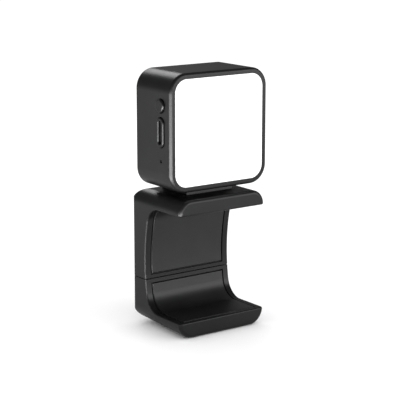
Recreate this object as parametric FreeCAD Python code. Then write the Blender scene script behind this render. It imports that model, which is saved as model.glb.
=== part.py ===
"""Pocket LED panel light on a spring-loaded phone clamp, modelled piece by piece.

Millimetres. X points right as seen from the lit face, Y points back, Z points up.
The origin is on the resting plane, under the middle of the clamp. Each function below makes one
piece, or one group of identical pieces, and each is written to parts/NAME.step.
"""
import FreeCAD, Part
import math
import os

V = FreeCAD.Vector
X_AXIS, Y_AXIS, Z_AXIS = V(1, 0, 0), V(0, 1, 0), V(0, 0, 1)

# ---------------------------------------------------------------- driving dimensions
# Clamp: a C seen from the side, open to the front (-Y)
CLAMP_HALF_W = 27.5          # half its width
CLAMP_HALF_D = 22.1          # half its depth, front to back
CLAMP_H = 74.0               # top of the upper arm
CLAMP_EDGE_R = 7.6           # big rounding along its upper left and right edges
CLAMP_FOOT_EDGE_R = 8.8      # the same along the underside
CLAMP_TOP_BACK_R = 6.8       # rounding where the back meets the top
CLAMP_FOOT_BACK_R = 8.0      # rounding where the back meets the underside
UNDERSIDE_RISE = 2.4         # degrees that the underside climbs towards the back
BACK_UPRIGHT_Z = 18.0        # above this the back stands straight up
CLAMP_CORNER_R = 2.0         # upright edges, seen from above
ARM_FACE_R = 1.9             # fillet round each arm's front face
THROAT_RIM_R = 0.8           # fillet along the throat's left and right edges
PARTING_Z = 25.9             # where the two halves meet
PARTING_GAP = 0.5
JAW_TRAVEL = 28.0            # the clamp opens from 57 mm to 85 mm

# Throat: the space between the arms
THROAT_FLOOR_Z = 9.0
THROAT_ROOF_Z = 65.7
THROAT_BACK_Y = 10.5         # deepest point of the slightly hollow back wall
THROAT_BACK_R = 100.0
THROAT_BACK_MID_Z = 35.0
THROAT_FLOOR_R = 11.0
THROAT_ROOF_R = 10.0

# Rubber pads, let into the throat
PAD_HALF_W = 23.2
PAD_DEPTH = 1.3              # depth of the recess
PAD_PROUD = 0.2
PAD_GROOVE = 0.65            # gap all round the pad
PAD_EDGE_R = 0.45
PAD_FRONT_Y = -19.4
UPPER_PAD_LOW_Z = 28.6
LOWER_PAD_HIGH_Z = 23.2

# Jaw walls and covers
SKIN = 2.1                   # outer wall of the jaws
THROAT_SKIN = 2.9            # wall between the throat and the hollow behind it
SCREW_R = 0.95               # shank of every M2 screw
SCREW_HEAD_R = 1.9
SCREW_HEAD_H = 1.1
COVER_T = 1.2

# Slide: a hollow flat tongue with two tension springs inside
TONGUE_HALF_W = 15.0
TONGUE_Y = (14.0, 19.6)
TONGUE_Z = (7.0, 59.0)
TONGUE_WALL = 1.1
SLIDE_GAP = 0.12
COLLAR_H = 4.0               # bottom wall of the upper jaw, which guides the tongue
SPRING_X = 6.0
SPRING_MID_R = 1.3
SPRING_WIRE_R = 0.25
SPRING_PITCH = 2.2
LOWER_BAR_Z = 10.5
UPPER_BAR_Z = 63.5
SPRING_BAR_R = 0.8

# Hinge foot between the clamp and the light
HINGE_HALF_W = 14.75
HINGE_FRONT_Y = -10.2
HINGE_BLOCK_Y = 2.8          # front of the raised rear block
HINGE_AXIS_Y = 11.7
HINGE_AXIS_Z = 75.65
KNUCKLE_R = 1.55
KNUCKLE_HALF_W = 7.0         # middle knuckle, carried by the light
HINGE_PLATE_T = 1.3
HINGE_EDGE_R = 0.5           # rounding of the rear block's upper front edge
HINGE_FRONT_LEAN = 8.0       # degrees that its front leans back
HINGE_PIN_R = 0.8
WASHER_T = 0.35

# Light head
HEAD_HALF = 30.85
HEAD_MID_Z = 108.1
HEAD_FRONT_Y = -18.9
HEAD_BACK_Y = 12.5
HEAD_CORNER_R = 10.1
HEAD_RIM_R = 1.5             # rounding of the front rim
HEAD_FLAT_W = 1.5            # flat of the front rim, between its rounding and the diffuser
HEAD_LIP_T = 1.4             # thickness of the rim that holds the diffuser in
HEAD_REAR_R = 0.9
HEAD_WALL = 1.9
FIT_GAP = 0.1                # assembly gap between fixed pieces
REAR_COVER_T = 2.2
WINDOW_HALF = HEAD_HALF - HEAD_RIM_R - HEAD_FLAT_W
WINDOW_CORNER_R = HEAD_CORNER_R - HEAD_RIM_R - HEAD_FLAT_W
INNER_HALF = HEAD_HALF - HEAD_WALL
INNER_CORNER_R = HEAD_CORNER_R - HEAD_WALL
DIFFUSER_FLANGE_Y = (HEAD_FRONT_Y + HEAD_LIP_T + 0.1, HEAD_FRONT_Y + 2.5)

# Controls on the left side, in one column
CONTROL_Y = -10.3
BUTTON_Z = HEAD_MID_Z + 14.1
BUTTON_R = 3.5
BUTTON_PROUD = 1.3
BUTTON_EDGE_R = 0.7
ROCKER_Z = HEAD_MID_Z + 0.4
ROCKER_HALF_L = 7.7
ROCKER_HALF_W = 3.0
ROCKER_PROUD = 0.9
ROCKER_EDGE_R = 0.5
ROCKER_GROOVE_HALF_W = 1.3   # groove that the fingertip feels, along the rocker
ROCKER_GROOVE_DEPTH = 1.5
CONTROL_GAP = 0.4
LIGHT_PIPE_Z = HEAD_MID_Z - 14.6
LIGHT_PIPE_R = 0.85
INNER_WALL_X = -HEAD_HALF + HEAD_WALL
ROCKER_FLANGE_X = (INNER_WALL_X + 0.6, INNER_WALL_X + 1.1)   # leaves room to rock
ROCKER_AXIS_X = -HEAD_HALF + 3.1
SWITCH_TOP_X = -HEAD_HALF + 3.8                              # tops of the tact switch bodies
SWITCH_BOARD_X = (-HEAD_HALF + 5.3, -HEAD_HALF + 6.1)
PLUNGER_R = 0.7
ROCKER_SWITCH_Z = 5.5        # each rocker switch, above or below the pivot
ROCKER_PIN_R = 0.5

# Electronics
LED_ROWS = 6
LED_PITCH = 6.6
LED_SIZE = 2.8
LED_BOARD_HALF = 21.4
LED_BOARD_Y = (-10.2, -9.0)
TRAY_MOUTH_HALF = 25.8
SPREADER_Y = (-9.0, -7.6)
BATTERY_Y = (-7.0, 0.4)
BOARD_Y = (4.2, 5.4)
BOARD_X = (-21.0, 27.8)
BOARD_Z = (86.6, 129.8)
USB_X = (HEAD_HALF - 7.6, HEAD_HALF - 0.3)
USB_Z = 96.2
USB_HALF_W = 4.47
USB_HALF_T = 1.63

INSERT_HOLE_R = 3.2          # takes a 1/4 inch camera screw
INSERT_R = 4.6
INSERT_TOP_Z = 5.9


# ---------------------------------------------------------------- helpers
def box(x, y, z):
    """Plain block from three (low, high) spans."""
    size = [span[1] - span[0] for span in (x, y, z)]
    return Part.makeBox(*size, V(x[0], y[0], z[0]))


def edges_along(shape, axis):
    return [e for e in shape.Edges
            if isinstance(e.Curve, Part.Line) and abs(e.Curve.Direction.dot(axis)) > 0.999]


def soft_box(x, y, z, axis, radius):
    """Block whose four edges along one axis are rounded."""
    block = box(x, y, z)
    return block.makeFillet(radius, edges_along(block, axis))


def rod(point, axis, radius, length):
    return Part.makeCylinder(radius, length, V(*point), axis)


def spread(middle, half):
    return (middle - half, middle + half)


def csk_screw(point, inward, length):
    """Countersunk M2 screw whose head lies flush at point; inward is the way it was driven."""
    start = V(*point)
    head = Part.makeCone(SCREW_HEAD_R, SCREW_R, SCREW_HEAD_H, start, inward)
    shank = Part.makeCylinder(SCREW_R, length, start, inward)
    screw = head.fuse(shank)
    across = X_AXIS if abs(inward.dot(X_AXIS)) < 0.5 else Z_AXIS
    for direction in (across, inward.cross(across)):
        slot = Part.makeBox(2.0, 0.4, 1.2, V(-1.0, -0.2, -0.6))
        turn = FreeCAD.Rotation(direction, inward.cross(direction), inward, "XYZ")
        slot.Placement = FreeCAD.Placement(start, turn)
        screw = screw.cut(slot)
    return screw


def csk_hole(point, inward, length):
    """Seat and clearance hole for csk_screw."""
    start = V(*point)
    outward = V(inward).multiply(-0.5)
    seat = Part.makeCone(SCREW_HEAD_R + 0.05, SCREW_R + 0.05, SCREW_HEAD_H, start, inward)
    mouth = Part.makeCylinder(SCREW_HEAD_R + 0.05, 0.5, start + outward, inward)
    return Part.makeCylinder(SCREW_R + 0.05, length, start, inward).fuse([seat, mouth])


def pierce(shape, cutters):
    for cutter in cutters:
        shape = shape.cut(cutter)
    return shape


# ---------------------------------------------------------------- clamp outlines
def throat(grow, half_width):
    """The space between the arms, with every wall moved outwards by grow."""
    floor_z = THROAT_FLOOR_Z - grow
    roof_z = THROAT_ROOF_Z + grow
    back_mid = V(0, THROAT_BACK_Y - THROAT_BACK_R, THROAT_BACK_MID_Z)
    back_r = THROAT_BACK_R + grow

    def fillet(radius, mid_z):
        reach = THROAT_BACK_R - radius
        mid_y = back_mid.y + math.sqrt(reach ** 2 - (mid_z - back_mid.z) ** 2)
        middle = V(0, mid_y, mid_z)
        toward = (middle - back_mid).normalize()
        return middle, toward, radius + grow

    low, low_way, low_r = fillet(THROAT_FLOOR_R, THROAT_FLOOR_Z + THROAT_FLOOR_R)
    high, high_way, high_r = fillet(THROAT_ROOF_R, THROAT_ROOF_Z - THROAT_ROOF_R)
    front_y = -CLAMP_HALF_D - 6

    def halfway(way, down):
        return (way + V(0, 0, down)).normalize()

    corner = [V(0, front_y, floor_z), V(0, low.y, floor_z), V(0, high.y, roof_z), V(0, front_y, roof_z)]
    low_touch = low + low_way * low_r
    high_touch = high + high_way * high_r
    edges = [
        Part.makeLine(corner[0], corner[1]),
        Part.Arc(corner[1], low + halfway(low_way, -1) * low_r, low_touch).toShape(),
        Part.Arc(low_touch, back_mid + Y_AXIS * back_r, high_touch).toShape(),
        Part.Arc(high_touch, high + halfway(high_way, 1) * high_r, corner[2]).toShape(),
        Part.makeLine(corner[2], corner[3]),
        Part.makeLine(corner[3], corner[0]),
    ]
    face = Part.Face(Part.Wire(edges))
    face.translate(V(-half_width, 0, 0))
    return face.extrude(V(2 * half_width, 0, 0))


def round_edge(shape, radius, chosen):
    return shape.makeFillet(radius, [e for e in shape.Edges if chosen(e.BoundBox)])


def clamp_outer():
    """Outer form of both jaws together, before the throat is cut."""
    across = (-CLAMP_HALF_W, CLAMP_HALF_W)
    deep = (-CLAMP_HALF_D, CLAMP_HALF_D)
    beyond = (-CLAMP_HALF_D - 20, CLAMP_HALF_D + 20)
    upper_part = soft_box(across, deep, (-20, CLAMP_H), Y_AXIS, CLAMP_EDGE_R)
    lower_part = soft_box(across, beyond, (0, CLAMP_H + 20), Y_AXIS, CLAMP_FOOT_EDGE_R)
    lower_part.rotate(V(0, -CLAMP_HALF_D, 0), X_AXIS, UNDERSIDE_RISE)
    top_view = soft_box(across, (beyond[0], CLAMP_HALF_D), (-20, CLAMP_H), Z_AXIS, CLAMP_CORNER_R)
    slab = box((-40, 40), (beyond[0], CLAMP_HALF_D), (0, CLAMP_H))
    rear_top = round_edge(slab, CLAMP_TOP_BACK_R,
                          lambda b: b.YMin > CLAMP_HALF_D - 0.1 and b.ZMin > CLAMP_H - 0.1)
    slab = box((-40, 40), (beyond[0], CLAMP_HALF_D + 0.8), (0, CLAMP_H + 20))
    rear_foot = round_edge(slab, CLAMP_FOOT_BACK_R,
                           lambda b: b.YMin > CLAMP_HALF_D + 0.7 and b.ZMax < 0.1)
    rear_foot.rotate(V(0, -CLAMP_HALF_D, 0), X_AXIS, UNDERSIDE_RISE)
    rear_foot = rear_foot.fuse(box((-40, 40), (beyond[0], CLAMP_HALF_D + 5), (BACK_UPRIGHT_Z, CLAMP_H + 20)))
    outer = upper_part
    for view in (lower_part, top_view, rear_top, rear_foot):
        outer = outer.common(view)
    return outer


def soften_jaw(jaw, inner_z):
    """Fillet an arm's front outline, then the rim where the throat breaks the outer form."""
    def on_outline(b):
        on_face = b.YMax < -CLAMP_HALF_D + 0.01
        on_throat = b.ZMax - b.ZMin < 0.01 and abs(b.ZMin - inner_z) < 0.01
        return on_face and not on_throat

    def on_rim(b):
        on_side = min(abs(b.XMin), abs(b.XMax)) > CLAMP_HALF_W - 0.01 and b.XMax - b.XMin < 0.01
        return on_side and b.YMax < THROAT_BACK_Y + 1 and b.YMax - b.YMin > 0.5
    jaw = round_edge(jaw, ARM_FACE_R, on_outline)
    return round_edge(jaw, THROAT_RIM_R, on_rim)


def jaw_hollow(low_z, high_z, back_y, outer_z):
    """Inside of a jaw, before its bosses: clear of the throat wall, rounded at back at outer_z."""
    across = (-CLAMP_HALF_W + SKIN, CLAMP_HALF_W - SKIN)
    space = soft_box(across, (-CLAMP_HALF_D + SKIN, back_y), (low_z, high_z), Y_AXIS, 5.4)
    slab = box(across, (-CLAMP_HALF_D, back_y), (low_z, high_z))
    slab = round_edge(slab, 5.5, lambda b: b.YMin > back_y - 0.1 and b.ZMax - b.ZMin < 0.1
                      and abs(b.ZMin - outer_z) < 0.1)
    return space.common(slab).cut(throat(THROAT_SKIN, 40))


# ---------------------------------------------------------------- upper jaw
HOLLOW_BACK_Y = CLAMP_HALF_D - SKIN
UPPER_LOW_Z = PARTING_Z + PARTING_GAP / 2
LOWER_HIGH_Z = PARTING_Z - PARTING_GAP / 2
BACK_COVER_X = 22.6
BACK_COVER_Z = (31.4, 66.0)
BACK_SCREWS = [(x, z) for x in (-20.3, 20.3) for z in (34.0, 63.2)]
HINGE_SCREWS = [(x, y) for x in (-11.4, 11.4) for y in (-6.6, 6.4)]


def upper_jaw_shell():
    jaw = clamp_outer().cut(throat(0, 40))
    jaw = jaw.common(box((-40, 40), (-40, 40), (UPPER_LOW_Z, CLAMP_H + 5)))
    jaw = soften_jaw(jaw, THROAT_ROOF_Z)
    roof_z = CLAMP_H - SKIN
    jaw = jaw.cut(jaw_hollow(UPPER_LOW_Z + COLLAR_H, roof_z, HOLLOW_BACK_Y, roof_z))
    jaw = jaw.cut(pad_recess(True))
    window = soft_box((-BACK_COVER_X + 1.6, BACK_COVER_X - 1.6), (15, 30),
                      (BACK_COVER_Z[0] + 1.4, BACK_COVER_Z[1] - 1.4), Y_AXIS, 2.0)
    seat = soft_box((-BACK_COVER_X, BACK_COVER_X), (CLAMP_HALF_D - COVER_T, CLAMP_HALF_D + 5),
                    BACK_COVER_Z, Y_AXIS, 3.0)
    jaw = jaw.cut(seat).cut(window)
    boss_face = CLAMP_HALF_D - COVER_T
    bosses = [rod((x, boss_face - 5.2, z), Y_AXIS, 2.6, 5.2) for x, z in BACK_SCREWS]
    ribs = [box(spread(x, 0.9), (14.4, boss_face), (UPPER_BAR_Z - 2.2, CLAMP_H - SKIN - 3.2))
            for x in (-16.6, 16.6)]
    hinge_bosses = [rod((x, y, CLAMP_H - 5.0), Z_AXIS, 2.2, 3.5) for x, y in HINGE_SCREWS]
    jaw = jaw.fuse(bosses + ribs + hinge_bosses).removeSplitter()
    pilots = [rod((x, boss_face - 4.4, z), Y_AXIS, SCREW_R, 6) for x, z in BACK_SCREWS]
    pilots += [rod((x, y, CLAMP_H - 4.4), Z_AXIS, SCREW_R, 6) for x, y in HINGE_SCREWS]
    pilots += [rod((-17.6, 16.8, UPPER_BAR_Z), X_AXIS, SPRING_BAR_R, 35.2), tongue_space()]
    return pierce(jaw, pilots)


def tongue_space():
    """Opening in the collar that the tongue slides through."""
    half = TONGUE_HALF_W + SLIDE_GAP
    span_y = (TONGUE_Y[0] - SLIDE_GAP, TONGUE_Y[1] + SLIDE_GAP)
    return soft_box((-half, half), span_y, (UPPER_LOW_Z - 1, UPPER_LOW_Z + COLLAR_H + 1), Z_AXIS, 1.0)


def pad_window(upper, groove):
    """Block that bounds a pad, or with groove the recess that it lies in."""
    z = (UPPER_PAD_LOW_Z - groove, CLAMP_H) if upper else (0, LOWER_PAD_HIGH_Z + groove)
    half = PAD_HALF_W + groove
    return box((-half, half), (PAD_FRONT_Y - groove, CLAMP_HALF_D), z)


def pad_recess(upper):
    return throat(PAD_DEPTH, 40).cut(throat(-1, 40)).common(pad_window(upper, PAD_GROOVE))


def grip_pad(upper):
    """Pad whose outline is rounded where it shows."""
    shown = throat(-PAD_PROUD, 40)
    pad = throat(PAD_DEPTH, 40).cut(shown).common(pad_window(upper, 0))
    end_z = UPPER_PAD_LOW_Z if upper else LOWER_PAD_HIGH_Z

    def on_outline(edge):
        b = edge.BoundBox
        at_side = b.XMax - b.XMin < 0.01 and abs(abs(b.XMin) - PAD_HALF_W) < 0.01
        at_end = b.ZMax - b.ZMin < 0.01 and abs(b.ZMin - end_z) < 0.01
        at_front = b.YMax < PAD_FRONT_Y + 0.01
        middle = Part.Vertex(edge.valueAt((edge.FirstParameter + edge.LastParameter) / 2))
        return (at_side or at_end or at_front) and shown.distToShape(middle)[0] < 0.001
    return pad.makeFillet(PAD_EDGE_R, [e for e in pad.Edges if on_outline(e)])


def upper_grip_pad():
    return grip_pad(True)


def upper_back_cover():
    gap = FIT_GAP
    plate = soft_box((-BACK_COVER_X + gap, BACK_COVER_X - gap), (CLAMP_HALF_D - COVER_T, CLAMP_HALF_D),
                     (BACK_COVER_Z[0] + gap, BACK_COVER_Z[1] - gap), Y_AXIS, 2.9)
    return pierce(plate, [csk_hole((x, CLAMP_HALF_D, z), -Y_AXIS, 3) for x, z in BACK_SCREWS])


def upper_cover_screws():
    return [csk_screw((x, CLAMP_HALF_D, z), -Y_AXIS, 5.0) for x, z in BACK_SCREWS]


def upper_spring_bar():
    return rod((-17.4, 16.8, UPPER_BAR_Z), X_AXIS, SPRING_BAR_R, 34.8)


# ---------------------------------------------------------------- lower jaw and slide
BOTTOM_X = 16.0              # the bottom cover is also the level foot
BOTTOM_Y = (-18.4, 13.6)
BOTTOM_T = 2.4
BOTTOM_SCREWS = [(x, y) for x in (-13.6, 13.6) for y in (-16.0, 11.2)]
TONGUE_SCREW_X = 11.0
TONGUE_SCREW_Z = 15.5


def lower_jaw_shell():
    jaw = clamp_outer().cut(throat(0, 40))
    jaw = jaw.common(box((-40, 40), (-40, 40), (-5, LOWER_HIGH_Z)))
    jaw = soften_jaw(jaw, THROAT_FLOOR_Z)
    hollow_low = BOTTOM_T + 1.5
    jaw = jaw.cut(jaw_hollow(hollow_low, LOWER_HIGH_Z - SKIN, HOLLOW_BACK_Y, hollow_low))
    jaw = jaw.cut(pad_recess(False))
    seat = soft_box((-BOTTOM_X, BOTTOM_X), BOTTOM_Y, (-5, BOTTOM_T), Z_AXIS, 3.0)
    window = soft_box((-BOTTOM_X + 1.5, BOTTOM_X - 1.5), (BOTTOM_Y[0] + 1.5, BOTTOM_Y[1] - 1.5),
                      (-5, 5), Z_AXIS, 2.0)
    jaw = jaw.cut(seat).cut(window)
    bosses = [rod((x, y, BOTTOM_T), Z_AXIS, 2.3, THROAT_FLOOR_Z - THROAT_SKIN - BOTTOM_T + 0.4)
              for x, y in BOTTOM_SCREWS]
    bosses += [rod((x, TONGUE_Y[1] - 0.1, TONGUE_SCREW_Z), Y_AXIS, 2.6, 1.8)
               for x in (-TONGUE_SCREW_X, TONGUE_SCREW_X)]
    jaw = jaw.fuse(bosses).removeSplitter()
    snug = soft_box((-TONGUE_HALF_W - 0.02, TONGUE_HALF_W + 0.02), (TONGUE_Y[0] - 0.02, TONGUE_Y[1] + 0.02),
                    (TONGUE_Z[0], LOWER_HIGH_Z + 1), Z_AXIS, 1.0)
    holes = [rod((x, y, 0), Z_AXIS, SCREW_R, 5.4) for x, y in BOTTOM_SCREWS]
    holes += [csk_hole((x, CLAMP_HALF_D, TONGUE_SCREW_Z), -Y_AXIS, 4)
              for x in (-TONGUE_SCREW_X, TONGUE_SCREW_X)]
    return pierce(jaw, [snug] + holes)


def lower_grip_pad():
    return grip_pad(False)


def guide_tongue():
    outer = soft_box((-TONGUE_HALF_W, TONGUE_HALF_W), TONGUE_Y, TONGUE_Z, Z_AXIS, 1.0)
    inner_x = TONGUE_HALF_W - 1.6
    inner_y = (TONGUE_Y[0] + TONGUE_WALL, TONGUE_Y[1] - TONGUE_WALL)
    inner = box((-inner_x, inner_x), inner_y, (TONGUE_Z[0] - 1, TONGUE_Z[1] + 1))
    tongue = outer.cut(inner)
    pads = [rod((x, TONGUE_Y[1] - 3.4, TONGUE_SCREW_Z), Y_AXIS, 2.3, 3.0)
            for x in (-TONGUE_SCREW_X, TONGUE_SCREW_X)]
    tongue = tongue.fuse(pads).removeSplitter()
    holes = [rod((x, TONGUE_Y[1] - 3.6, TONGUE_SCREW_Z), Y_AXIS, SCREW_R, 5)
             for x in (-TONGUE_SCREW_X, TONGUE_SCREW_X)]
    holes.append(rod((-TONGUE_HALF_W - 1, 16.8, LOWER_BAR_Z), X_AXIS, SPRING_BAR_R, 40))
    return pierce(tongue, holes)


def tongue_stop():
    """Frame round the tongue's top end, too wide to pass through the collar."""
    top = TONGUE_Z[1]
    low = UPPER_LOW_Z + COLLAR_H + JAW_TRAVEL
    outer = soft_box((-17.2, 17.2), (13.6, TONGUE_Y[1] + 0.2), (low, top), Z_AXIS, 1.2)
    inner = soft_box((-TONGUE_HALF_W, TONGUE_HALF_W), TONGUE_Y, (low - 1, top + 1), Z_AXIS, 1.0)
    return outer.cut(inner)


def tongue_screws():
    return [csk_screw((x, CLAMP_HALF_D, TONGUE_SCREW_Z), -Y_AXIS, 5.4)
            for x in (-TONGUE_SCREW_X, TONGUE_SCREW_X)]


def lower_spring_bar():
    return rod((-TONGUE_HALF_W, 16.8, LOWER_BAR_Z), X_AXIS, SPRING_BAR_R, 2 * TONGUE_HALF_W)


def return_springs():
    """Two tension springs, each a coil with a hook at both ends."""
    leg = 1.7
    low = LOWER_BAR_Z + leg + 0.3
    high = UPPER_BAR_Z - leg - 0.3
    pieces = []
    for x in (-SPRING_X, SPRING_X):
        helix = Part.makeHelix(SPRING_PITCH, high - low, SPRING_MID_R)
        start = helix.Edges[0].firstVertex().Point
        ring = Part.Wire(Part.makeCircle(SPRING_WIRE_R, start, Y_AXIS))
        coil = Part.Wire(helix.Edges).makePipeShell([ring], True, True)
        coil.translate(V(x, 16.8, low))
        pieces.append(coil)
        for end_z, bar_z, sign in ((low, LOWER_BAR_Z, -1), (high, UPPER_BAR_Z, 1)):
            bend = Part.makeTorus(SPRING_MID_R, SPRING_WIRE_R, V(x, 16.8, bar_z), X_AXIS)
            beyond = box(spread(x, 3), spread(16.8, 3), (0, 4))
            beyond.translate(V(0, 0, bar_z if sign > 0 else bar_z - 4))
            legs = [Part.makeCylinder(SPRING_WIRE_R, abs(end_z - bar_z) - 0.3,
                                      V(x, 16.8 + y, bar_z), V(0, 0, -sign))
                    for y in (-SPRING_MID_R, SPRING_MID_R)]
            pieces.append(bend.common(beyond).fuse(legs).removeSplitter())
    return pieces


def bottom_cover():
    gap = FIT_GAP
    plate = soft_box((-BOTTOM_X + gap, BOTTOM_X - gap), (BOTTOM_Y[0] + gap, BOTTOM_Y[1] - gap),
                     (0, BOTTOM_T), Z_AXIS, 2.9)
    plate = plate.fuse(rod((0, 0, 0), Z_AXIS, INSERT_R + 1.4, INSERT_TOP_Z))
    holes = [csk_hole((x, y, 0), Z_AXIS, 3) for x, y in BOTTOM_SCREWS]
    holes.append(rod((0, 0, -1), Z_AXIS, INSERT_R, 10))
    return pierce(plate, holes)


def bottom_cover_screws():
    return [csk_screw((x, y, 0), Z_AXIS, 4.6) for x, y in BOTTOM_SCREWS]


def tripod_insert():
    body = rod((0, 0, 0), Z_AXIS, INSERT_R, INSERT_TOP_Z)
    return body.cut(rod((0, 0, -1), Z_AXIS, INSERT_HOLE_R, 10))


# ---------------------------------------------------------------- hinge foot
HINGE_BASE_TOP_Z = HEAD_MID_Z - HEAD_HALF - 0.15
LEAF_SCREWS = [(-9.0, -5.6), (9.0, -5.6), (0, 0.6)]
LEAF_T = 1.15


def hinge_base():
    across = (-HINGE_HALF_W, HINGE_HALF_W)
    rear_y = HINGE_AXIS_Y + KNUCKLE_R
    plate_top = CLAMP_H + HINGE_PLATE_T
    plate = box(across, (HINGE_FRONT_Y, rear_y - 1.2), (CLAMP_H, plate_top))
    lean = box((-30, 30), (HINGE_FRONT_Y - 5, HINGE_FRONT_Y), (CLAMP_H - 1, plate_top + 1))
    lean.rotate(V(0, HINGE_FRONT_Y, CLAMP_H), X_AXIS, -HINGE_FRONT_LEAN)
    plate = plate.cut(lean)
    block = box(across, (HINGE_BLOCK_Y, HINGE_AXIS_Y), (CLAMP_H, HINGE_BASE_TOP_Z))
    block = round_edge(block, HINGE_EDGE_R,
                       lambda b: b.ZMin > HINGE_BASE_TOP_Z - 0.1 and b.YMax < HINGE_BLOCK_Y + 0.1)
    knuckle = rod((-HINGE_HALF_W, HINGE_AXIS_Y, HINGE_AXIS_Z), X_AXIS, KNUCKLE_R, 2 * HINGE_HALF_W)
    base = plate.fuse([block, knuckle]).removeSplitter()
    gap_half = KNUCKLE_HALF_W + WASHER_T
    base = base.cut(box((-gap_half, gap_half), (HINGE_BLOCK_Y - 2, 30), (CLAMP_H + HINGE_PLATE_T, 90)))
    base = base.cut(box((-gap_half, gap_half), (HINGE_AXIS_Y - 3.2, 30), (CLAMP_H - 1, 90)))
    holes = [rod((-30, HINGE_AXIS_Y, HINGE_AXIS_Z), X_AXIS, HINGE_PIN_R, 60)]
    for x, y in HINGE_SCREWS:
        holes.append(csk_hole((x, y, CLAMP_H + HINGE_PLATE_T), -Z_AXIS, 3))
        holes.append(rod((x, y, CLAMP_H + HINGE_PLATE_T), Z_AXIS, SCREW_HEAD_R + 0.05, 5))
    return pierce(base, holes)


def hinge_base_screws():
    return [csk_screw((x, y, CLAMP_H + HINGE_PLATE_T), -Z_AXIS, 5.2) for x, y in HINGE_SCREWS]


def hinge_pin():
    return rod((-HINGE_HALF_W, HINGE_AXIS_Y, HINGE_AXIS_Z), X_AXIS, HINGE_PIN_R, 2 * HINGE_HALF_W)


def friction_washers():
    washers = []
    for side in (-1, 1):
        start = side * (KNUCKLE_HALF_W + WASHER_T / 2) - (WASHER_T - 0.06) / 2
        disc = rod((start, HINGE_AXIS_Y, HINGE_AXIS_Z), X_AXIS, KNUCKLE_R - 0.1, WASHER_T - 0.06)
        hole = rod((start - 1, HINGE_AXIS_Y, HINGE_AXIS_Z), X_AXIS, HINGE_PIN_R, 3)
        washers.append(disc.cut(hole))
    return washers


def hinge_leaf():
    top = HEAD_MID_Z - HEAD_HALF
    low = top - LEAF_T
    wide = soft_box((-12.6, 12.6), (HINGE_FRONT_Y + 1.4, HINGE_BLOCK_Y - 0.6), (low, top), Z_AXIS, 1.0)
    arm = box((-KNUCKLE_HALF_W, KNUCKLE_HALF_W), (HINGE_BLOCK_Y - 3, HINGE_AXIS_Y), (low, top))
    barrel = rod((-KNUCKLE_HALF_W, HINGE_AXIS_Y, HINGE_AXIS_Z), X_AXIS, KNUCKLE_R, 2 * KNUCKLE_HALF_W)
    web = box((-KNUCKLE_HALF_W, KNUCKLE_HALF_W), (HINGE_AXIS_Y - 2.6, HINGE_AXIS_Y), (HINGE_AXIS_Z, top))
    leaf = wide.fuse([arm, barrel, web]).removeSplitter()
    holes = [csk_hole((x, y, low), Z_AXIS, 3) for x, y in LEAF_SCREWS]
    holes.append(rod((-30, HINGE_AXIS_Y, HINGE_AXIS_Z), X_AXIS, HINGE_PIN_R + 0.05, 60))
    return pierce(leaf, holes)


def hinge_leaf_screws():
    low = HEAD_MID_Z - HEAD_HALF - LEAF_T
    return [csk_screw((x, y, low), Z_AXIS, 5.4) for x, y in LEAF_SCREWS]


# ---------------------------------------------------------------- light head
def head_block(half, y, radius):
    return soft_box((-half, half), y, spread(HEAD_MID_Z, half), Y_AXIS, radius)


def stadium(x, mid_z, half_w, half_l):
    """Upright slot shape with round ends, across the left wall."""
    return soft_box(x, spread(CONTROL_Y, half_w), spread(mid_z, half_l), X_AXIS, half_w - 0.001)


COVER_SCREWS = [(x, HEAD_MID_Z + z) for x in (-24.6, 24.6) for z in (-24.6, 24.6)]
SWITCH_POSTS_Z = (HEAD_MID_Z - 11.2, HEAD_MID_Z + 20.6)
LUGS_Y = [spread(CONTROL_Y + side * 4.0, 0.5) for side in (-1, 1)]


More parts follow.
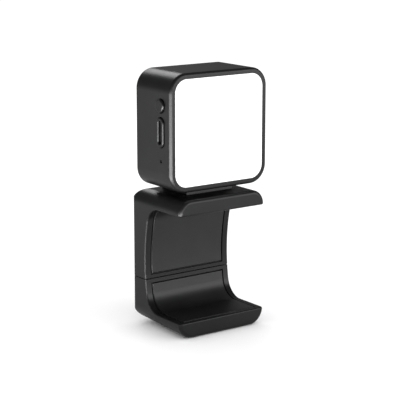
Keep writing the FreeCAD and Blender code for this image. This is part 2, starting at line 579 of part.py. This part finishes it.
def head_shell():
    outer = head_block(HEAD_HALF, (HEAD_FRONT_Y, HEAD_BACK_Y), HEAD_CORNER_R)
    outer = round_edge(outer, HEAD_RIM_R, lambda b: b.YMax < HEAD_FRONT_Y + 0.01)
    outer = round_edge(outer, HEAD_REAR_R, lambda b: b.YMin > HEAD_BACK_Y - 0.01)
    behind_lip = (HEAD_FRONT_Y + HEAD_LIP_T, HEAD_BACK_Y + 1)
    shell = outer.cut(head_block(INNER_HALF, behind_lip, INNER_CORNER_R))
    shell = shell.cut(head_block(WINDOW_HALF, (HEAD_FRONT_Y - 1, behind_lip[1]), WINDOW_CORNER_R))
    boss_y = (-7.0, HEAD_BACK_Y - REAR_COVER_T)
    corner = head_block(HEAD_HALF - 1, boss_y, HEAD_CORNER_R - 1)
    added = [soft_box(spread(x, 2.9), boss_y, spread(z, 2.9), Y_AXIS, 0.8).common(corner)
             for x, z in [(1.04 * x, HEAD_MID_Z + 1.04 * (z - HEAD_MID_Z)) for x, z in COVER_SCREWS]]
    added += [rod((x, y, HEAD_MID_Z - INNER_HALF - 0.5), Z_AXIS, 2.2, 4.0) for x, y in LEAF_SCREWS]
    added += [rod((INNER_WALL_X - 0.5, CONTROL_Y, z), X_AXIS, 1.7, SWITCH_BOARD_X[0] - INNER_WALL_X + 0.5)
              for z in SWITCH_POSTS_Z]
    added += [box((INNER_WALL_X - 0.5, ROCKER_AXIS_X + 1.2), y, spread(ROCKER_Z, 1.7)) for y in LUGS_Y]
    shell = shell.fuse(added).removeSplitter()
    wall_x = (-HEAD_HALF - 2, INNER_WALL_X + 0.6)
    holes = [
        rod((wall_x[0], CONTROL_Y, BUTTON_Z), X_AXIS, BUTTON_R + CONTROL_GAP, wall_x[1] - wall_x[0]),
        stadium(wall_x, ROCKER_Z, ROCKER_HALF_W + CONTROL_GAP, ROCKER_HALF_L + CONTROL_GAP),
        rod((wall_x[0], CONTROL_Y, LIGHT_PIPE_Z), X_AXIS, LIGHT_PIPE_R + 0.05, 6),
        rod((ROCKER_AXIS_X, LUGS_Y[0][0] - 1, ROCKER_Z), Y_AXIS, ROCKER_PIN_R, 12),
        usb_outline(0.18, (INNER_HALF - 1.6, HEAD_HALF + 2)),
    ]
    holes += [rod((x, -2, z), Y_AXIS, SCREW_R, 20) for x, z in COVER_SCREWS]
    holes += [rod((x, y, HEAD_MID_Z - HEAD_HALF - 1), Z_AXIS, SCREW_R, 5.6) for x, y in LEAF_SCREWS]
    holes += [rod((INNER_WALL_X + 0.5, CONTROL_Y, z), X_AXIS, 0.7, 6) for z in SWITCH_POSTS_Z]
    return pierce(shell, holes)


def rear_cover():
    plate = head_block(INNER_HALF - FIT_GAP, (HEAD_BACK_Y - REAR_COVER_T, HEAD_BACK_Y),
                       INNER_CORNER_R - FIT_GAP)
    posts = [rod((x, BOARD_Y[1], z), Y_AXIS, 2.2, HEAD_BACK_Y - REAR_COVER_T - BOARD_Y[1] + 0.5)
             for x, z in BOARD_SCREWS]
    plate = plate.fuse(posts).removeSplitter()
    holes = [csk_hole((x, HEAD_BACK_Y, z), -Y_AXIS, 4) for x, z in COVER_SCREWS]
    holes += [rod((x, BOARD_Y[1] - 1, z), Y_AXIS, SCREW_R, 5.6) for x, z in BOARD_SCREWS]
    return pierce(plate, holes)


def rear_cover_screws():
    return [csk_screw((x, HEAD_BACK_Y, z), -Y_AXIS, 8.0) for x, z in COVER_SCREWS]


def diffuser():
    """Opal window, flush with the rim, on a flange that the rim holds in."""
    window_y = (HEAD_FRONT_Y, DIFFUSER_FLANGE_Y[1])
    window = head_block(WINDOW_HALF - FIT_GAP / 2, window_y, WINDOW_CORNER_R - FIT_GAP / 2)
    window = round_edge(window, 0.15, lambda b: b.YMax < HEAD_FRONT_Y + 0.01)
    flange = head_block(INNER_HALF - FIT_GAP, DIFFUSER_FLANGE_Y, INNER_CORNER_R - FIT_GAP)
    return window.fuse(flange).removeSplitter()


def frustum(front, rear, y, corner):
    """Square funnel solid, half-widths front and rear over the span y."""
    wires = []
    for half, at in ((front, y[0]), (rear, y[1])):
        section = head_block(half, (at, at + 1), corner * half / front)
        face = [f for f in section.Faces if f.BoundBox.YMax < at + 0.01][0]
        wires.append(face.OuterWire)
    return Part.makeLoft(wires, True, True)


def reflector_tray():
    wall = 0.8
    y_front, y_rear = DIFFUSER_FLANGE_Y[1], LED_BOARD_Y[0]
    flange = head_block(INNER_HALF - FIT_GAP, (y_front, y_front + 1.2), INNER_CORNER_R - FIT_GAP)
    funnel = frustum(TRAY_MOUTH_HALF, LED_BOARD_HALF, (y_front + 0.6, y_rear), 5.0)
    mouth_half = TRAY_MOUTH_HALF - wall
    space = frustum(mouth_half, LED_BOARD_HALF - wall, (y_front + 0.59, y_rear - wall), 4.4)
    mouth = head_block(mouth_half, (y_front - 1, y_front + 0.6), 4.4)
    tray = flange.fuse(funnel).cut(space).cut(mouth)
    opening = LED_SIZE / 2 + 0.5
    return pierce(tray, [box(spread(x, opening), (y_rear - 2, y_rear + 1), spread(z, opening))
                         for x, z in led_places()])


def led_places():
    first = -LED_PITCH * (LED_ROWS - 1) / 2
    steps = [first + LED_PITCH * i for i in range(LED_ROWS)]
    return [(x, HEAD_MID_Z + z) for x in steps for z in steps]


def led_board():
    return head_block(LED_BOARD_HALF, LED_BOARD_Y, 3.0)


def led_chips():
    front = LED_BOARD_Y[0]
    return [box(spread(x, LED_SIZE / 2), (front - 0.6, front), spread(z, LED_SIZE / 2))
            for x, z in led_places()]


def heat_spreader():
    return head_block(LED_BOARD_HALF, SPREADER_Y, 3.0)


def battery_tape():
    return box((-16, 16), (SPREADER_Y[1], BATTERY_Y[0]), spread(HEAD_MID_Z, 14))


def battery_cell():
    cell = box((-20, 20), BATTERY_Y, spread(HEAD_MID_Z, 18))
    return cell.makeFillet(2.4, edges_along(cell, Z_AXIS))


BOARD_SCREWS = [(-17.6, 90.4), (-17.6, 126.0), (20.0, 126.0)]


def control_board():
    board = soft_box(BOARD_X, BOARD_Y, BOARD_Z, Y_AXIS, 1.5)
    return pierce(board, [rod((x, BOARD_Y[0] - 1, z), Y_AXIS, SCREW_R + 0.05, 4) for x, z in BOARD_SCREWS])


def board_chips():
    """Charger, LED driver, controller and inductor, on the board's front."""
    front = BOARD_Y[0]
    sizes = [(-8.0, 118.0, 2.5, 2.5, 0.9), (2.0, 118.0, 2.0, 2.0, 0.8), (11.0, 117.0, 3.0, 3.0, 3.0),
             (-8.0, 106.0, 1.5, 1.5, 0.8), (4.0, 104.0, 1.6, 0.8, 0.8), (11.0, 104.0, 1.6, 0.8, 0.8)]
    return [box(spread(x, half_x), (front - tall, front), spread(z, half_z))
            for x, z, half_x, half_z, tall in sizes]


def board_screws():
    screws = []
    for x, z in BOARD_SCREWS:
        head = rod((x, BOARD_Y[0] - 1.2, z), Y_AXIS, SCREW_HEAD_R, 1.2)
        screws.append(head.fuse(rod((x, BOARD_Y[0] - 0.2, z), Y_AXIS, SCREW_R, 5.6)))
    return screws


# ---------------------------------------------------------------- charging socket
def usb_outline(grow, x):
    y = spread(BOARD_Y[1] + USB_HALF_T, USB_HALF_T + grow)
    return soft_box(x, y, spread(USB_Z, USB_HALF_W + grow), X_AXIS, USB_HALF_T + grow - 0.001)


def usb_c_shell():
    wall = 0.3
    outer = usb_outline(0, USB_X)
    return outer.cut(usb_outline(-wall, (USB_X[0] + 1.0, HEAD_HALF)))


def usb_c_tongue():
    y = spread(BOARD_Y[1] + USB_HALF_T, 0.35)
    return box((USB_X[0] + 1.0, USB_X[1] - 1.1), y, spread(USB_Z, 3.3))


# ---------------------------------------------------------------- controls
def power_button():
    cap_x = -HEAD_HALF - BUTTON_PROUD
    cap = rod((cap_x, CONTROL_Y, BUTTON_Z), X_AXIS, BUTTON_R, INNER_WALL_X - cap_x + 0.4)
    cap = round_edge(cap, BUTTON_EDGE_R, lambda b: b.XMax < cap_x + 0.01)
    flange = rod((INNER_WALL_X + 0.05, CONTROL_Y, BUTTON_Z), X_AXIS, BUTTON_R + 1.0, 0.6)
    return cap.fuse(flange).removeSplitter()


def power_plunger():
    start = INNER_WALL_X + 0.65
    return rod((start, CONTROL_Y, BUTTON_Z), X_AXIS, PLUNGER_R, SWITCH_TOP_X - start + 0.5)


def brightness_rocker():
    """Long cap with a groove for the fingertip, on a rib that swings on the pin."""
    cap_x = -HEAD_HALF - ROCKER_PROUD
    cap = stadium((cap_x, ROCKER_FLANGE_X[0] + 0.1), ROCKER_Z, ROCKER_HALF_W, ROCKER_HALF_L)
    ridge_w = ROCKER_HALF_W - ROCKER_GROOVE_HALF_W
    cap = cap.cut(stadium((cap_x - 1, cap_x + ROCKER_GROOVE_DEPTH), ROCKER_Z, ROCKER_GROOVE_HALF_W,
                          ROCKER_HALF_L - ridge_w))
    cap = round_edge(cap, ROCKER_EDGE_R, lambda b: b.XMax < cap_x + 0.01)
    flange = stadium(ROCKER_FLANGE_X, ROCKER_Z, ROCKER_HALF_W + 0.4, ROCKER_HALF_L + 1.1)
    rib = box((ROCKER_FLANGE_X[0], ROCKER_AXIS_X), spread(CONTROL_Y, 2.6), spread(ROCKER_Z, 1.1))
    eye = rod((ROCKER_AXIS_X, CONTROL_Y - 2.6, ROCKER_Z), Y_AXIS, 1.1, 5.2)
    rocker = cap.fuse([flange, rib, eye]).removeSplitter()
    return rocker.cut(rod((ROCKER_AXIS_X, CONTROL_Y - 8, ROCKER_Z), Y_AXIS, ROCKER_PIN_R + 0.05, 16))


def rocker_pin():
    low, high = LUGS_Y[0][0], LUGS_Y[1][1]
    return rod((ROCKER_AXIS_X, low, ROCKER_Z), Y_AXIS, ROCKER_PIN_R, high - low)


def rocker_plungers():
    start = ROCKER_FLANGE_X[1]
    return [rod((start, CONTROL_Y, ROCKER_Z + dz), X_AXIS, PLUNGER_R, SWITCH_TOP_X - start + 0.4)
            for dz in (-ROCKER_SWITCH_Z, ROCKER_SWITCH_Z)]


def switch_board():
    board = soft_box(SWITCH_BOARD_X, spread(CONTROL_Y, 3.6), (90.4, BUTTON_Z + 8.7), X_AXIS, 1.0)
    return pierce(board, [rod((-30, CONTROL_Y, z), X_AXIS, 0.75, 10) for z in SWITCH_POSTS_Z])


def switch_board_screws():
    screws = []
    for z in SWITCH_POSTS_Z:
        head = rod((SWITCH_BOARD_X[1], CONTROL_Y, z), X_AXIS, 1.3, 0.8)
        shank = rod((SWITCH_BOARD_X[1] - 3.0, CONTROL_Y, z), X_AXIS, 0.7, 3.0)
        screws.append(head.fuse(shank))
    return screws


def tact_switches():
    """One under the button and two under the rocker, each bored for its plunger."""
    switches = []
    for z in (BUTTON_Z, ROCKER_Z + ROCKER_SWITCH_Z, ROCKER_Z - ROCKER_SWITCH_Z):
        body = box((SWITCH_TOP_X, SWITCH_BOARD_X[0]), spread(CONTROL_Y, 1.9), spread(z, 1.9))
        switches.append(body.cut(rod((SWITCH_TOP_X - 1, CONTROL_Y, z), X_AXIS, PLUNGER_R + 0.45, 2.3)))
    return switches


def status_light_pipe():
    start = -HEAD_HALF + 0.5
    pipe = rod((start, CONTROL_Y, LIGHT_PIPE_Z), X_AXIS, LIGHT_PIPE_R, SWITCH_BOARD_X[0] - start)
    return pipe.fuse(rod((INNER_WALL_X, CONTROL_Y, LIGHT_PIPE_Z), X_AXIS, 1.5, 0.8))


PIECES = [
    head_shell, diffuser, reflector_tray, led_board, led_chips, heat_spreader, battery_cell, battery_tape,
    control_board, board_chips, board_screws, usb_c_shell, usb_c_tongue, rear_cover, rear_cover_screws,
    power_button, power_plunger, brightness_rocker, rocker_pin, rocker_plungers, switch_board,
    switch_board_screws, tact_switches, status_light_pipe, hinge_leaf, hinge_leaf_screws,
    hinge_base, hinge_pin, friction_washers, hinge_base_screws,
    upper_jaw_shell, upper_grip_pad, upper_back_cover, upper_cover_screws, upper_spring_bar,
    lower_jaw_shell, lower_grip_pad, guide_tongue, tongue_stop, tongue_screws, lower_spring_bar,
    bottom_cover, bottom_cover_screws, tripod_insert, return_springs,
]

os.makedirs("parts", exist_ok=True)
for make in PIECES:
    made = make()
    shape = Part.makeCompound(made) if isinstance(made, list) else made
    sound = shape.isValid() and all(solid.Volume > 0 for solid in shape.Solids)
    print(make.__name__, len(shape.Solids), round(shape.Volume, 1), "" if sound else "NOT SOUND")
    shape.exportStep("parts/" + make.__name__ + ".step")
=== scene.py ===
"""Looks of the pocket LED panel light on its spring-loaded phone clamp.

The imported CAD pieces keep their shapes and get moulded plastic, rubber, metal and opal materials here.
Metres, in the shared frame: X right seen from the lit face, Y back, Z up, origin on the resting plane.
"""
import math

import bpy
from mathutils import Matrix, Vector

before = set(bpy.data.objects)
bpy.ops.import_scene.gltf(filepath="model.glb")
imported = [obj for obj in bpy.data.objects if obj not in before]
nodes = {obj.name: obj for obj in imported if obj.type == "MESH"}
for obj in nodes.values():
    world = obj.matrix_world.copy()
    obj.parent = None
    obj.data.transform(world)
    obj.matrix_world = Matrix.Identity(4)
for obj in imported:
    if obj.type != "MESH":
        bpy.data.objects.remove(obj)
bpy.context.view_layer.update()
MM = 0.001


# ---------------------------------------------------------------- camera
CAMERA_AZIMUTH = -35.79      # degrees; 0 looks along +Y
CAMERA_ELEVATION = 12.43
CAMERA_DISTANCE = 0.7177
CAMERA_TARGET = Vector((-0.01257, -0.0190, 0.07271))
CAMERA_LENS = 125.19         # millimetres
CAMERA_SENSOR = 36           # its width, millimetres
CAMERA_NEAR, CAMERA_FAR = 0.01, 50


def direction(azimuth, elevation):
    """Unit vector from the object towards that azimuth and elevation, in degrees."""
    a, e = math.radians(azimuth), math.radians(elevation)
    return Vector((math.sin(a) * math.cos(e), -math.cos(a) * math.cos(e), math.sin(e)))


def make_camera():
    camera = bpy.data.objects.new("camera", bpy.data.cameras.new("camera"))
    camera.data.lens = CAMERA_LENS
    camera.data.sensor_width = CAMERA_SENSOR
    camera.data.clip_start, camera.data.clip_end = CAMERA_NEAR, CAMERA_FAR
    away = direction(CAMERA_AZIMUTH, CAMERA_ELEVATION)
    camera.location = CAMERA_TARGET + away * CAMERA_DISTANCE
    camera.rotation_euler = (-away).to_track_quat("-Z", "Y").to_euler()
    bpy.context.scene.collection.objects.link(camera)
    bpy.context.scene.camera = camera


# ---------------------------------------------------------------- materials
NOISE_LOW, NOISE_HIGH = 0.3, 0.7     # the stretch of a noise's values that gets used
BLACK = (0.005, 0.005, 0.0052)
PLASTIC_GRAIN = 0.28                 # millimetres from one pebble of the grain to the next
PLASTIC_GRAIN_DEPTH = 0.004
PLASTIC_SPECULAR = 0.35
RUBBER_SPECULAR = 0.5
OPAL_GLOW = 0.3


class Shader:
    """A Principled material being wired up, in the object's own coordinates, in millimetres."""

    def __init__(self, name):
        self.material = bpy.data.materials.new(name)
        self.material.use_nodes = True
        self.tree = self.material.node_tree
        self.surface = self.tree.nodes["Principled BSDF"]
        place = self.add("ShaderNodeTexCoord")
        scale = self.add("ShaderNodeMapping")
        scale.inputs["Scale"].default_value = (1 / MM, 1 / MM, 1 / MM)
        self.join(place.outputs["Object"], scale.inputs["Vector"])
        self.place = scale.outputs["Vector"]

    def add(self, kind):
        return self.tree.nodes.new(kind)

    def join(self, output, socket):
        self.tree.links.new(output, socket)

    def set(self, **values):
        for name, value in values.items():
            self.surface.inputs[name.replace("_", " ")].default_value = value

    def noise(self, per_mm, detail=2.0, roughness=0.5, stretch=None):
        """Noise of that many features per millimetre, drawn out along an axis where stretch is below 1."""
        texture = self.add("ShaderNodeTexNoise")
        texture.inputs["Scale"].default_value = per_mm
        texture.inputs["Detail"].default_value = detail
        texture.inputs["Roughness"].default_value = roughness
        place = self.place
        if stretch:
            mapping = self.add("ShaderNodeMapping")
            mapping.inputs["Scale"].default_value = stretch
            self.join(place, mapping.inputs["Vector"])
            place = mapping.outputs["Vector"]
        self.join(place, texture.inputs["Vector"])
        return texture.outputs["Fac"]

    def ramp(self, factor, low, high):
        """Values low to high as the noise goes through its useful stretch."""
        remap = self.add("ShaderNodeMapRange")
        remap.inputs["From Min"].default_value = NOISE_LOW
        remap.inputs["From Max"].default_value = NOISE_HIGH
        remap.inputs["To Min"].default_value = low
        remap.inputs["To Max"].default_value = high
        self.join(factor, remap.inputs["Value"])
        return remap.outputs["Result"]

    def colours(self, factor, first, second):
        """Base colour that drifts from the first to the second."""
        mix = self.add("ShaderNodeMix")
        mix.data_type = "RGBA"
        mix.inputs["A"].default_value = (*first, 1)
        mix.inputs["B"].default_value = (*second, 1)
        self.join(self.ramp(factor, 0, 1), mix.inputs["Factor"])
        self.join(mix.outputs["Result"], self.surface.inputs["Base Color"])

    def roughness(self, factor, low, high):
        self.join(self.ramp(factor, low, high), self.surface.inputs["Roughness"])

    def bump(self, height, depth_mm):
        bump = self.add("ShaderNodeBump")
        bump.inputs["Strength"].default_value = 1.0
        bump.inputs["Distance"].default_value = depth_mm * MM
        self.join(height, bump.inputs["Height"])
        self.join(bump.outputs["Normal"], self.surface.inputs["Normal"])


def moulded_plastic(name, roughness):
    """Black satin plastic: a fine pebbled grain, a slow drift in gloss and a hint of mottling."""
    shader = Shader(name)
    shader.set(Specular_IOR_Level=PLASTIC_SPECULAR)
    drift = shader.noise(0.05, 2.0)
    grain = shader.noise(1 / PLASTIC_GRAIN, 2.0, 0.6)
    shader.colours(drift, [0.85 * c for c in BLACK], [1.15 * c for c in BLACK])
    shader.roughness(drift, roughness - 0.03, roughness + 0.03)
    shader.bump(grain, PLASTIC_GRAIN_DEPTH)
    return shader.material


def grip_rubber():
    """Matt silicone with a fine, slightly dusty tooth."""
    shader = Shader("grip_rubber")
    shader.set(Specular_IOR_Level=RUBBER_SPECULAR)
    drift = shader.noise(0.08, 3.0)
    tooth = shader.noise(4.0, 3.0, 0.65)
    shader.colours(drift, BLACK, (0.008, 0.008, 0.0083))
    shader.roughness(tooth, 0.36, 0.46)
    shader.bump(tooth, 0.006)
    return shader.material


def opal():
    """Milky acrylic, glowing evenly."""
    shader = Shader("opal_acrylic")
    cloud = shader.noise(0.15, 2.0)
    shader.colours(cloud, (0.93, 0.93, 0.93), (0.96, 0.96, 0.96))
    shader.set(Roughness=0.45, Emission_Color=(1, 1, 1, 1), Emission_Strength=OPAL_GLOW)
    shader.bump(shader.noise(5.0, 2.0), 0.002)
    return shader.material


def plated_steel(name, colour, roughness):
    """Bright plated steel with fine turning lines."""
    shader = Shader(name)
    shader.set(Metallic=1.0)
    lines = shader.noise(6.0, 3.0, 0.6, (0.15, 1, 1))
    shader.colours(lines, [0.85 * c for c in colour], colour)
    shader.roughness(lines, roughness, roughness + 0.15)
    shader.bump(lines, 0.002)
    return shader.material


def plain(name, colour, roughness, metallic=0.0):
    """Smooth surface with a slight cloudiness in colour and gloss."""
    shader = Shader(name)
    shader.set(Metallic=metallic)
    drift = shader.noise(0.8, 3.0)
    shader.colours(drift, [0.9 * c for c in colour], colour)
    shader.roughness(drift, roughness - 0.05, roughness + 0.05)
    shader.bump(drift, 0.003)
    return shader.material


def dress_nodes():
    """Gives every CAD node the material of its slot."""
    made = {
        "housing": moulded_plastic("housing_plastic", 0.33),
        "clamp": moulded_plastic("clamp_plastic", 0.33),
        "controls": moulded_plastic("controls_plastic", 0.3),
        "opal": opal(),
        "white_plastic": plain("white_plastic", (0.85, 0.85, 0.84), 0.5),
        "grip_rubber": grip_rubber(),
        "steel": plated_steel("zinc_steel", (0.6, 0.6, 0.61), 0.25),
        "black_screw": plain("black_oxide", (0.03, 0.03, 0.032), 0.4, 1.0),
        "hinge_metal": moulded_plastic("powder_coat", 0.35),
        "spring_steel": plated_steel("drawn_wire", (0.5, 0.5, 0.51), 0.3),
        "brass": plated_steel("brass", (0.72, 0.52, 0.25), 0.25),
        "pcb": plain("green_solder_mask", (0.01, 0.09, 0.035), 0.35),
        "led_pcb": plain("white_solder_mask", (0.85, 0.85, 0.83), 0.45),
        "led": plain("phosphor", (0.85, 0.7, 0.2), 0.35),
        "aluminium": plain("mill_aluminium", (0.75, 0.75, 0.76), 0.4, 1.0),
        "battery": plain("foil_pouch", (0.55, 0.57, 0.6), 0.35, 1.0),
        "tape": plain("foam_tape", (0.88, 0.88, 0.84), 0.8),
        "chips": plain("moulded_epoxy", (0.02, 0.02, 0.02), 0.4),
        "tongue": plain("acetal", (0.02, 0.02, 0.021), 0.35),
        "smoke": plain("smoked_acrylic", (0.006, 0.006, 0.006), 0.15),
    }
    for node in nodes.values():
        for slot in node.material_slots:
            slot.material = made[slot.material.name]


# ---------------------------------------------------------------- studio
FLOOR_HALF = 6.0
FLOOR_WHITE = (0.95, 0.95, 0.95, 1)
FLOOR_IN_GLOSS = (0.55, 0.55, 0.55, 1)
WORLD_WHITE = 1.1
WORLD_IN_GLOSS = 0.15
SOFTBOX_AIM = Vector((0, 0, 0.07))
EDGE_LIGHT_AZIMUTH = -54
EDGE_LIGHT_DISTANCE = 0.45
EDGE_LIGHT_Z = 0.002


def make_floor():
    """Pale and matt, and a little darker where the object mirrors it."""
    mesh = bpy.data.meshes.new("floor")
    corners = [(-FLOOR_HALF, -FLOOR_HALF, 0), (FLOOR_HALF, -FLOOR_HALF, 0),
               (FLOOR_HALF, FLOOR_HALF, 0), (-FLOOR_HALF, FLOOR_HALF, 0)]
    mesh.from_pydata(corners, [], [(0, 1, 2, 3)])
    floor = bpy.data.objects.new("floor", mesh)
    bpy.context.scene.collection.objects.link(floor)
    material = bpy.data.materials.new("floor")
    material.use_nodes = True
    tree = material.node_tree
    surface = tree.nodes["Principled BSDF"]
    surface.inputs["Roughness"].default_value = 0.9
    surface.inputs["Specular IOR Level"].default_value = 0.0
    path = tree.nodes.new("ShaderNodeLightPath")
    shade = tree.nodes.new("ShaderNodeMix")
    shade.data_type = "RGBA"
    shade.inputs["A"].default_value = FLOOR_WHITE
    shade.inputs["B"].default_value = FLOOR_IN_GLOSS
    tree.links.new(path.outputs["Is Glossy Ray"], shade.inputs["Factor"])
    tree.links.new(shade.outputs["Result"], surface.inputs["Base Color"])
    mesh.materials.append(material)


def make_world():
    """White all round, but dim where the object mirrors it, as a studio with dark walls is."""
    world = bpy.data.worlds.new("studio")
    world.use_nodes = True
    tree = world.node_tree
    background = tree.nodes["Background"]
    background.inputs["Color"].default_value = (1, 1, 1, 1)
    path = tree.nodes.new("ShaderNodeLightPath")
    dim = tree.nodes.new("ShaderNodeMapRange")
    dim.inputs["To Min"].default_value = WORLD_WHITE
    dim.inputs["To Max"].default_value = WORLD_IN_GLOSS
    tree.links.new(path.outputs["Is Glossy Ray"], dim.inputs["Value"])
    tree.links.new(dim.outputs["Result"], background.inputs["Strength"])
    bpy.context.scene.world = world


def area_light(name, location, width, height, radiance):
    """Evenly lit rectangle, facing down until it is turned."""
    lamp = bpy.data.lights.new(name, "AREA")
    lamp.shape = "RECTANGLE"
    lamp.size, lamp.size_y = width, height
    lamp.energy = radiance * math.pi * width * height
    light = bpy.data.objects.new(name, lamp)
    light.location = location
    light.visible_camera = False
    bpy.context.scene.collection.objects.link(light)
    return light


def softbox(name, azimuth, elevation, distance, **panel):
    """Panel that faces the object from that direction."""
    away = direction(azimuth, elevation)
    light = area_light(name, SOFTBOX_AIM + away * distance, **panel)
    light.rotation_euler = away.to_track_quat("Z", "Y").to_euler()


def floor_panel():
    """Lies on the floor facing up; seen from the camera, the rounded front left edges mirror it."""
    place = Vector((0, 0, EDGE_LIGHT_Z)) + direction(EDGE_LIGHT_AZIMUTH, 0) * EDGE_LIGHT_DISTANCE
    light = area_light("edge_light", place, width=0.9, height=0.6, radiance=17.0)
    light.rotation_euler = (math.pi, 0, math.radians(EDGE_LIGHT_AZIMUTH))
    light.visible_diffuse = False


def make_lights():
    softbox("back_softbox", 165, 35, 1.0, width=0.4, height=0.34, radiance=3.5)
    softbox("front_right_panel", 36, 10, 1.0, width=0.8, height=0.5, radiance=3.0)
    floor_panel()


make_camera()
dress_nodes()
make_floor()
make_world()
make_lights()
bpy.context.scene.view_settings.view_transform = "Standard"
